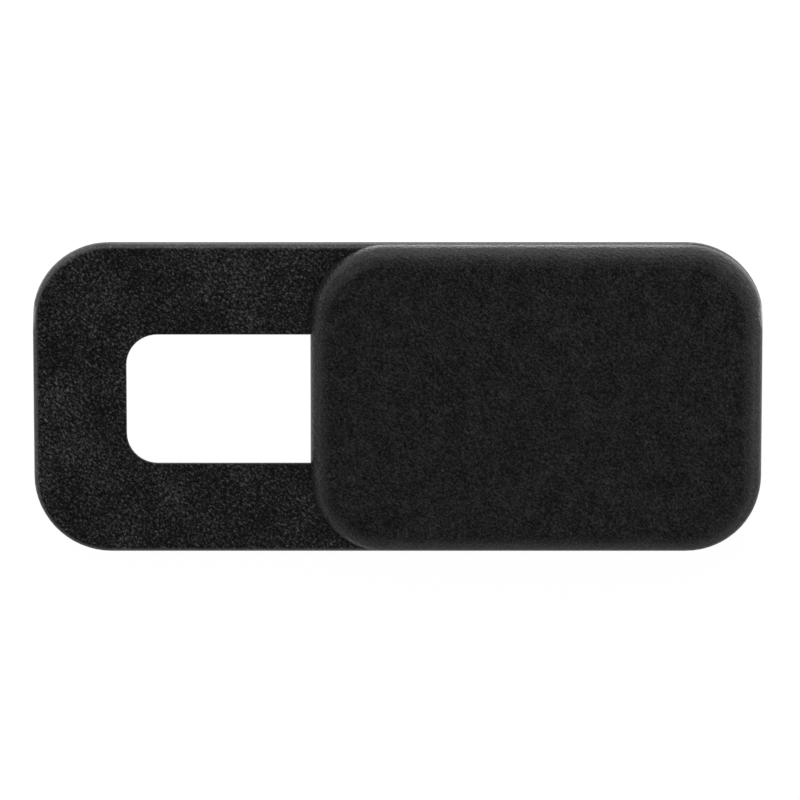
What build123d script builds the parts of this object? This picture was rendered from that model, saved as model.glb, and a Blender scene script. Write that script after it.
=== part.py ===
from build123d import *
import os

# Sliding cover for a webcam: a thin frame that is stuck over the lens, and a shutter that slides along it.
#
# The frame is a rounded plate with a window. The window is longer than the open view, because its long
# edges are also the track of the shutter: two snap hooks under the shutter reach through the window and run
# in rebates behind its edges. A die-cut pad of double-sided tape covers the back of the frame.
#
# Millimetres. X runs along the slide, Y up the screen and Z away from it. The origin is at the middle of the
# frame, on the sticky face of the tape. The shutter stands open, at the +X end of the frame.

# Frame plate
base_length = 33.0
base_width = 14.4
base_thickness = 0.5
base_corner = 3.5
base_wall = 0.32
base_draft = 10.0
base_bevel = 38.0
base_edge_round = 0.15

# Window in the frame, and the track along its long edges
window_margin = 4.23
window_height = 6.0
window_corner = 1.4
window_edge_break = 0.03
window_relief = 0.12
track_end_corner = 0.3
rail_lip = 0.18
rebate_gap = 0.18

# Tape on the back of the frame
tape_thickness = 0.15
tape_inset = 0.6
tape_window_margin = 0.4

# Shutter plate
shutter_end_inset = 0.05
shutter_side_inset = 0.1
shutter_rise = 0.1
shutter_thickness = 1.2
shutter_draft = 3.0
shutter_edge_round = 0.95
cover_margin = 0.42

# Snap hooks under the shutter
hook_length = 1.5
hook_leg = 0.45
barb_overlap = 0.28
barb_land = 0.1

# Clearances between the shutter and the frame
slide_gap = 0.05
hook_side_gap = 0.16
hook_height_gap = 0.05
stop_gap = 0.05

# Heights of the layers, counted from the sticky face
base_bottom = tape_thickness
base_top = base_bottom + base_thickness
lip_bottom = base_top - rail_lip
shutter_bottom = base_top + slide_gap

# The closed shutter reaches cover_margin past the end of the window, and stands shutter_end_inset inside the
# frame at either end of its travel. These two set its length and its travel. It lies shutter_rise above the
# middle of the frame, near the upper limit of its side play.
track_allowance = window_corner + hook_length + 2 * stop_gap + track_end_corner
window_reach = window_margin + track_allowance + cover_margin
shutter_length = (base_length + window_reach - 3 * shutter_end_inset) / 2
shutter_width = base_width - 2 * shutter_side_inset
shutter_corner = base_corner - shutter_side_inset
shutter_travel = base_length - 2 * shutter_end_inset - shutter_length
shutter_centre = base_length / 2 - shutter_end_inset - shutter_length / 2

# Places along the slide: the hooks with the shutter open, the rebates that stop them, and the window
window_left = window_margin - base_length / 2
track_left = window_left + window_corner
hook_start = track_left + stop_gap + shutter_travel
track_right = hook_start + hook_length + stop_gap
window_right = track_right + track_end_corner
window_length = window_right - window_left
window_centre = (window_left + window_right) / 2
track_length = track_right - track_left
track_centre = (track_left + track_right) / 2
open_view = shutter_travel + shutter_end_inset - window_margin

# Places across the slide
window_edge = window_height / 2
leg_outer = window_edge - hook_side_gap
leg_inner = leg_outer - hook_leg
barb_tip = window_edge + barb_overlap
rebate_edge = barb_tip + rebate_gap

# Heights of the hooks, whose feet reach into the cut-out of the tape
hook_foot = hook_height_gap
barb_top = lip_bottom - hook_height_gap

# Cut-out of the tape
tape_window_length = window_length + 2 * tape_window_margin
tape_window_height = 2 * (rebate_edge + tape_window_margin)

os.makedirs("parts", exist_ok=True)

# Frame: a plate with a drafted wall and a bevelled edge, the window with its rim thinned to a lip from
# behind, and a wider rebate behind each long edge of the window
with BuildPart() as base_frame:
    with BuildSketch(Plane.XY.offset(base_bottom)):
        RectangleRounded(base_length, base_width, base_corner)
    extrude(amount=base_wall, taper=base_draft)
    wall_top = base_frame.faces().sort_by(Axis.Z)[-1]
    extrude(wall_top, amount=base_thickness - base_wall, taper=base_bevel)
    fillet(base_frame.faces().sort_by(Axis.Z)[-1].edges(), radius=base_edge_round)

    for margin, depth in ((0, base_thickness), (window_relief, base_thickness - rail_lip)):
        with BuildSketch(Plane.XY.offset(base_bottom)) as window:
            with Locations((window_centre, 0)):
                Rectangle(window_length + 2 * margin, window_height + 2 * margin)
            fillet(window.vertices().group_by(Axis.X)[0], radius=window_corner + margin)
            fillet(window.vertices().group_by(Axis.X)[-1], radius=track_end_corner + margin)
        extrude(amount=depth, mode=Mode.SUBTRACT)
    window_rim = base_frame.faces().sort_by(Axis.Z)[-1].inner_wires()[0].edges()
    chamfer(window_rim, length=window_edge_break)

    with BuildSketch(Plane.XY.offset(base_bottom)):
        with Locations((track_centre, 0)):
            Rectangle(track_length, 2 * rebate_edge)
    extrude(amount=lip_bottom - base_bottom, mode=Mode.SUBTRACT)

base_frame.part.label = "base_frame"
export_step(base_frame.part, "parts/base_frame.step")

# Shutter: a drafted plate with a round edge, and below it a barbed leg at each long edge of the window
with BuildPart() as shutter:
    with BuildSketch(Plane.XY.offset(shutter_bottom)):
        with Locations((shutter_centre, shutter_rise)):
            RectangleRounded(shutter_length, shutter_width, shutter_corner)
    extrude(amount=shutter_thickness, taper=shutter_draft)
    fillet(shutter.faces().sort_by(Axis.Z)[-1].edges(), radius=shutter_edge_round)

    with BuildSketch(Plane((hook_start, shutter_rise, 0), x_dir=(0, 1, 0), z_dir=(1, 0, 0))):
        with BuildLine():
            Polyline(
                (leg_inner, shutter_bottom),
                (leg_outer, shutter_bottom),
                (leg_outer, barb_top),
                (barb_tip, barb_top),
                (barb_tip, barb_top - barb_land),
                (leg_outer, hook_foot),
                (leg_inner, hook_foot),
                close=True,
            )
        make_face()
        mirror(about=Plane.YZ)
    extrude(amount=hook_length)

shutter.part.label = "shutter"
export_step(shutter.part, "parts/shutter.step")

# Tape: a thin pad inside the frame's outline, cut out around the window and the rebates
with BuildPart() as adhesive_pad:
    with BuildSketch():
        RectangleRounded(base_length - 2 * tape_inset, base_width - 2 * tape_inset, base_corner - tape_inset)
        with Locations((window_centre, 0)):
            RectangleRounded(tape_window_length, tape_window_height, window_corner, mode=Mode.SUBTRACT)
    extrude(amount=tape_thickness)

adhesive_pad.part.label = "adhesive_pad"
export_step(adhesive_pad.part, "parts/adhesive_pad.step")

print(f"shutter {shutter_length:.3f} mm long, travel {shutter_travel:.3f} mm")
print(f"window {window_length:.3f} mm long, open view {open_view:.3f} mm")
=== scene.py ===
import math

import bmesh
import bpy
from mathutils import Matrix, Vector


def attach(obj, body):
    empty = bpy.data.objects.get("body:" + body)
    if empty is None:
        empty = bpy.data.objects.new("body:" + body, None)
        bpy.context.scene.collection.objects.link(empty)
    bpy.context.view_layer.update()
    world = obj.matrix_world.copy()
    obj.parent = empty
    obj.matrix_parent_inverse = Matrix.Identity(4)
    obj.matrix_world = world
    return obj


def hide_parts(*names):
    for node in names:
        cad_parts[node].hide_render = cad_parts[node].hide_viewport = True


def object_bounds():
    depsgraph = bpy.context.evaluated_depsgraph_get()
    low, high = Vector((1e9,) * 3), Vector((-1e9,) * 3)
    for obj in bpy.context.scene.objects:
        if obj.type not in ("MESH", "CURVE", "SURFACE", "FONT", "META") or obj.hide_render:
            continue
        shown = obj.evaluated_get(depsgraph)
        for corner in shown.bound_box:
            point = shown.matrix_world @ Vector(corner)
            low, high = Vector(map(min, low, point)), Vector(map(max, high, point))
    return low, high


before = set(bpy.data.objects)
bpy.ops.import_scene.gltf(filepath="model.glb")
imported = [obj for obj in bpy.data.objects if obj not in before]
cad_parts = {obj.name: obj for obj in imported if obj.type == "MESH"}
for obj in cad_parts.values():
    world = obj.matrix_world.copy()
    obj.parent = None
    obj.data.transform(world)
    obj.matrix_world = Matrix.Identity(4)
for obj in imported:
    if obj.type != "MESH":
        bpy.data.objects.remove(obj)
cad_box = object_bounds()

MM = 0.001

# Camera: it stands off the face, leant towards the top edge, with the top edge up in the picture
LENS = 400 * MM
SENSOR = 36 * MM
TILT = math.radians(14.0)
PICTURE_WIDTH = 36.17 * MM
AIM = Vector((0.10, 0.054, 1.0)) * MM
CLIP_START = 10 * MM

# Edges of the pieces
EDGE_ROUND = 0.03 * MM
TAPE_EDGE_ROUND = 0.02 * MM
EDGE_SEGMENTS = 2
SHARP_ANGLE = math.radians(30)
FLAT_ANGLE = math.radians(0.5)
WELD_DISTANCE = 0.0001 * MM

# Surfaces of the mouldings and the tape
STREAK_SLOPE = math.radians(-45)
FRAME_MOTTLE = 0.18
SHUTTER_MOTTLE = 0.17
SHUTTER_EDGE_ROUGHNESS = 0.18
FIBRE_DEPTH = 0.02 * MM

# Floor
FLOOR_SIZE = 4.0
FLOOR_DROP = 0.02 * MM
FLOOR_GREY = 0.8
FLOOR_WHITE = 1.07
FLOOR_WHITE_SHARE = 0.9

# Places of the floor's glow in millimetres: one from the frame's middle, then three from its back edge
FRONT_FADE = (-8.0, -4.0)
RIM_RISE = (-0.8, 0.0)
RIM_END = (0.25, 0.7)
BACK_RISE = (1.0, 3.8)

# Corners of the glow in millimetres: reach from the frame's ends, and bend in from its back edge
CORNER_REACH = 4.0
CORNER_BEND = 3.5

# Strengths of the glow
WINDOW_GLOW = 0.25
END_GLOW = 0.12
RIM_GLOW = 1.0
RIM_FALL = 0.72
BACK_GLOW = 0.30

# Lamps and the light from all round
LAMP_DISTANCE = 0.5
SIDE_LEVEL = 0.75
HORIZON_LEVEL = 0.40
HORIZON_SHARPNESS = 10.0
MIDDLE_LEVEL = 0.97
RIGHT_SLOPE = 0.10
BACK_SLOPE = 0.28
BACK_CURVE = -0.14


def add_node(tree, kind, inputs=None, **settings):
    """A shader node with its settings, and with each input set to a value or linked to a socket."""
    made = tree.nodes.new(kind)
    for name, value in settings.items():
        setattr(made, name, value)
    for socket, value in (inputs or {}).items():
        if isinstance(value, bpy.types.NodeSocket):
            tree.links.new(value, made.inputs[socket])
        else:
            made.inputs[socket].default_value = value
    return made


def maths(tree, operation, first, second=0.0, third=0.0):
    """The result of one sum on numbers or sockets."""
    return add_node(tree, "ShaderNodeMath", {0: first, 1: second, 2: third}, operation=operation).outputs[0]


def new_material(name):
    """An empty node material, its tree and its output node."""
    material = bpy.data.materials.new(name)
    material.use_nodes = True
    tree = material.node_tree
    tree.nodes.clear()
    return material, tree, tree.nodes.new("ShaderNodeOutputMaterial")


def millimetres(tree):
    """The piece's own coordinates, counted in millimetres."""
    place = add_node(tree, "ShaderNodeTexCoord").outputs["Object"]
    scale = (1 / MM, 1 / MM, 1 / MM)
    return add_node(tree, "ShaderNodeMapping", {"Vector": place, "Scale": scale}).outputs[0]


def streaks(tree, length):
    """The piece's own coordinates in millimetres, drawn out along the grain's sloping streaks."""
    place = add_node(tree, "ShaderNodeTexCoord").outputs["Object"]
    inputs = {"Vector": place, "Rotation": (0, 0, STREAK_SLOPE), "Scale": (length * MM, MM, MM)}
    return add_node(tree, "ShaderNodeMapping", inputs, vector_type="TEXTURE").outputs[0]


def noise(tree, place, per_mm, detail=0.0, roughness=0.5):
    """Soft noise from about 0 to 1, with so many lumps to a millimetre."""
    settings = {"Vector": place, "Scale": per_mm, "Detail": detail, "Roughness": roughness}
    return add_node(tree, "ShaderNodeTexNoise", settings).outputs["Fac"]


def ramp(tree, value, low, high, to_low=0.0, to_high=1.0):
    """A smooth step of value from low to high, between two results."""
    settings = {"Value": value, "From Min": low, "From Max": high, "To Min": to_low, "To Max": to_high}
    made = add_node(tree, "ShaderNodeMapRange", settings, interpolation_type="SMOOTHSTEP")
    return made.outputs["Result"]


def grey(tree, value, start, growth):
    """A grey that grows with the square of the value, from black at the start."""
    above = maths(tree, "MAXIMUM", maths(tree, "SUBTRACT", value, start), 0.0)
    return maths(tree, "MULTIPLY", maths(tree, "POWER", above, 2.0), growth)


def facing_up(tree, low, high):
    """A mask that grows from 0 to 1 as the surface turns from a steep edge to the level face."""
    normal = add_node(tree, "ShaderNodeNewGeometry").outputs["Normal"]
    upward = add_node(tree, "ShaderNodeSeparateXYZ", {0: normal}).outputs["Z"]
    return ramp(tree, upward, low, high)


def blend(tree, mask, at_edge, at_face):
    """A number that goes from its value at the edges to its value on the face, with the mask."""
    return maths(tree, "MULTIPLY_ADD", mask, at_face - at_edge, at_edge)


def frame_plastic():
    """Black plastic with a coarse sparkling grain on its face, and smooth edges; its colour holds painted
    shade in the grain's pits and painted glints on its rises.
    """
    material, tree, output = new_material("frame_plastic")
    face = facing_up(tree, low=0.80, high=0.97)
    mottle = noise(tree, millimetres(tree), per_mm=0.6, detail=1.0)
    speckle = noise(tree, streaks(tree, length=1.35), per_mm=9.0, detail=1.5, roughness=0.95)
    grain = maths(tree, "MULTIPLY_ADD", mottle, FRAME_MOTTLE, speckle)
    depth = blend(tree, face, at_edge=0.0, at_face=0.03 * MM)
    bump = add_node(tree, "ShaderNodeBump", {"Height": grain, "Strength": 1.0, "Distance": depth})
    surface = {
        # Colour from the grain: darker in its pits as painted shade, lighter on its rises as painted glints
        "Base Color": grey(tree, grain, start=0.503, growth=1.38),
        "Roughness": blend(tree, face, at_edge=0.20, at_face=0.22),
        "Specular IOR Level": 0.65,
        "Normal": bump.outputs[0],
    }
    principled = add_node(tree, "ShaderNodeBsdfPrincipled", surface)
    tree.links.new(principled.outputs[0], output.inputs["Surface"])
    return material


def shutter_plastic():
    """Black plastic with a fine soft grain on its face, whose colour holds painted glints and painted shade
    as lighter and darker specks, and glossier, more pebbled edges.
    """
    material, tree, output = new_material("shutter_plastic")
    face = facing_up(tree, low=0.70, high=0.98)
    mottle = noise(tree, millimetres(tree), per_mm=1.0, detail=2.0)
    place = streaks(tree, length=1.7)
    speckle = noise(tree, place, per_mm=16.0, detail=1.5, roughness=0.8)
    grain = maths(tree, "MULTIPLY_ADD", mottle, SHUTTER_MOTTLE, speckle)
    pebble = noise(tree, place, per_mm=7.0, detail=1.0, roughness=0.6)
    depth = blend(tree, face, at_edge=0.05 * MM, at_face=0.02 * MM)
    bump = add_node(tree, "ShaderNodeBump", {"Height": pebble, "Strength": 1.0, "Distance": depth})
    matt = ramp(tree, grain, low=0.40, high=0.80, to_low=0.12, to_high=0.18)
    surface = {
        # Colour from the grain: lighter specks as painted glints, darker specks as painted shade
        "Base Color": grey(tree, grain, start=0.36, growth=0.335),
        "Roughness": maths(tree, "MULTIPLY_ADD", face, matt, SHUTTER_EDGE_ROUGHNESS),
        "Specular IOR Level": 0.35,
        "Normal": bump.outputs[0],
    }
    principled = add_node(tree, "ShaderNodeBsdfPrincipled", surface)
    tree.links.new(principled.outputs[0], output.inputs["Surface"])
    return material


def tape():
    """Milky double-sided tape with a fibrous carrier."""
    material, tree, output = new_material("tape")
    fibres = noise(tree, millimetres(tree), per_mm=2.5, detail=4.0, roughness=0.7)
    bump = add_node(tree, "ShaderNodeBump", {"Height": fibres, "Strength": 0.5, "Distance": FIBRE_DEPTH})
    surface = {
        "Base Color": ramp(tree, fibres, low=0.2, high=0.8, to_low=0.60, to_high=0.80),
        "Roughness": ramp(tree, fibres, low=0.3, high=0.7, to_low=0.28, to_high=0.42),
        "Normal": bump.outputs[0],
    }
    principled = add_node(tree, "ShaderNodeBsdfPrincipled", surface)
    tree.links.new(principled.outputs[0], output.inputs["Surface"])
    return material


def dressed(node, piece, body, material, edge_round):
    """A copy of a CAD solid with softly broken edges, which stands for it."""
    shape = bmesh.new()
    shape.from_mesh(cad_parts[node].data)
    bmesh.ops.remove_doubles(shape, verts=shape.verts, dist=WELD_DISTANCE)
    bmesh.ops.dissolve_limit(shape, angle_limit=FLAT_ANGLE, verts=shape.verts, edges=shape.edges)
    for face in shape.faces:
        face.smooth = True
    mesh = bpy.data.meshes.new(piece)
    shape.to_mesh(mesh)
    shape.free()
    made = bpy.data.objects.new(piece, mesh)
    bpy.context.scene.collection.objects.link(made)
    bevel = made.modifiers.new("edges", "BEVEL")
    bevel.width = edge_round
    bevel.segments = EDGE_SEGMENTS
    bevel.limit_method = "ANGLE"
    bevel.angle_limit = SHARP_ANGLE
    made.modifiers.new("shading", "WEIGHTED_NORMAL")
    mesh.materials.append(material)
    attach(made, body)
    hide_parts(node)


def add_camera():
    """The camera at the photograph's viewing angle."""
    data = bpy.data.cameras.new("camera")
    data.lens = LENS / MM
    data.sensor_width = SENSOR / MM
    data.clip_start = CLIP_START
    camera = bpy.data.objects.new("camera", data)
    distance = PICTURE_WIDTH * LENS / SENSOR
    camera.location = AIM + distance * Vector((0, math.sin(TILT), math.cos(TILT)))
    camera.rotation_euler = (-TILT, 0, 0)
    bpy.context.scene.collection.objects.link(camera)
    bpy.context.scene.camera = camera


def floor_glow(tree):
    """The floor's painted glow, mirrored in the object's edges: none in front, weak below, bright at the
    back.
    """
    half_length = cad_box[1].x / MM
    half_width = cad_box[1].y / MM
    place = add_node(tree, "ShaderNodeSeparateXYZ", {0: millimetres(tree)}).outputs
    along = maths(tree, "ABSOLUTE", place["X"])
    ends = ramp(tree, along, half_length - CORNER_REACH, half_length)
    inner = ramp(tree, ends, low=0.0, high=1.0, to_low=WINDOW_GLOW, to_high=END_GLOW)
    inner = maths(tree, "MULTIPLY", inner, ramp(tree, place["Y"], *FRONT_FADE))
    beyond = maths(tree, "SUBTRACT", place["Y"], half_width)
    beyond = maths(tree, "MULTIPLY_ADD", ends, CORNER_BEND, beyond)
    rim = ramp(tree, beyond, *RIM_RISE, to_high=RIM_GLOW)
    rim = maths(tree, "SUBTRACT", rim, ramp(tree, beyond, *RIM_END, to_high=RIM_FALL))
    outer = maths(tree, "ADD", rim, ramp(tree, beyond, *BACK_RISE, to_high=BACK_GLOW))
    return maths(tree, "ADD", inner, outer)


def add_floor():
    """A pale floor that looks white to the camera, with a trace of the object's shadow, and a painted glow
    that the object's edges mirror.
    """
    material, tree, output = new_material("floor")
    pale = (FLOOR_GREY, FLOOR_GREY, FLOOR_GREY, 1)
    diffuse = add_node(tree, "ShaderNodeBsdfDiffuse", {"Color": pale}).outputs[0]
    # Painted glow: the floor shines where the object's edges mirror it, though it is no lamp
    painted_glow = add_node(tree, "ShaderNodeEmission", {"Strength": floor_glow(tree)}).outputs[0]
    lit = add_node(tree, "ShaderNodeAddShader", {0: diffuse, 1: painted_glow}).outputs[0]
    bright = {"Color": (1, 1, 1, 1), "Strength": FLOOR_WHITE}
    white = add_node(tree, "ShaderNodeEmission", bright).outputs[0]
    seen = add_node(tree, "ShaderNodeLightPath").outputs["Is Camera Ray"]
    share = maths(tree, "MULTIPLY", seen, FLOOR_WHITE_SHARE)
    mix = add_node(tree, "ShaderNodeMixShader", {0: share, 1: lit, 2: white}).outputs[0]
    tree.links.new(mix, output.inputs["Surface"])
    mesh = bpy.data.meshes.new("floor")
    half = FLOOR_SIZE / 2
    corners = [(-half, -half, 0), (half, -half, 0), (half, half, 0), (-half, half, 0)]
    mesh.from_pydata(corners, [], [(0, 1, 2, 3)])
    mesh.materials.append(material)
    floor = bpy.data.objects.new("floor", mesh)
    floor.location.z = cad_box[0].z - FLOOR_DROP
    bpy.context.scene.collection.objects.link(floor)


def add_lamp(name, azimuth, elevation, width, level):
    """A round soft lamp aimed at the object, whose face has the given level of light."""
    data = bpy.data.lights.new(name, "AREA")
    data.shape = "DISK"
    data.size = width
    data.energy = level * math.pi * math.pi * (width / 2) ** 2
    around = math.radians(azimuth)
    above = math.radians(elevation)
    outward = math.cos(above)
    towards = Vector((outward * math.cos(around), outward * math.sin(around), math.sin(above)))
    lamp = bpy.data.objects.new(name, data)
    lamp.location = LAMP_DISTANCE * towards
    lamp.rotation_euler = towards.to_track_quat("Z", "Y").to_euler()
    bpy.context.scene.collection.objects.link(lamp)


def add_world():
    """Soft light from all round: bright near the horizon, less so at the front, and dim overhead."""
    world = bpy.data.worlds.new("world")
    world.use_nodes = True
    tree = world.node_tree
    tree.nodes.clear()
    direction = add_node(tree, "ShaderNodeTexCoord").outputs["Generated"]
    parts = add_node(tree, "ShaderNodeSeparateXYZ", {0: direction}).outputs
    level = maths(tree, "SUBTRACT", 1.0, maths(tree, "MULTIPLY", parts["Z"], parts["Z"]))
    sides = maths(tree, "MULTIPLY", level, SIDE_LEVEL)
    band = maths(tree, "POWER", level, HORIZON_SHARPNESS)
    horizon = maths(tree, "MULTIPLY_ADD", band, HORIZON_LEVEL, sides)
    across = maths(tree, "MULTIPLY_ADD", parts["X"], RIGHT_SLOPE, MIDDLE_LEVEL)
    slope = maths(tree, "MULTIPLY_ADD", parts["Y"], BACK_CURVE, BACK_SLOPE)
    light = maths(tree, "MULTIPLY", horizon, maths(tree, "MULTIPLY_ADD", slope, parts["Y"], across))
    background = add_node(tree, "ShaderNodeBackground", {"Color": (1, 1, 1, 1), "Strength": light})
    output = tree.nodes.new("ShaderNodeOutputWorld")
    tree.links.new(background.outputs[0], output.inputs["Surface"])
    bpy.context.scene.world = world


dressed("base_frame", "frame_moulding", "frame", frame_plastic(), EDGE_ROUND)
dressed("shutter", "shutter_moulding", "shutter", shutter_plastic(), EDGE_ROUND)
dressed("adhesive_pad", "tape_pad", "frame", tape(), TAPE_EDGE_ROUND)

add_camera()
add_floor()
add_lamp("left_lamp", azimuth=148, elevation=58, width=0.32, level=0.65)
add_lamp("right_lamp", azimuth=15, elevation=60, width=0.36, level=0.5)
add_world()
bpy.context.scene.view_settings.view_transform = "Standard"
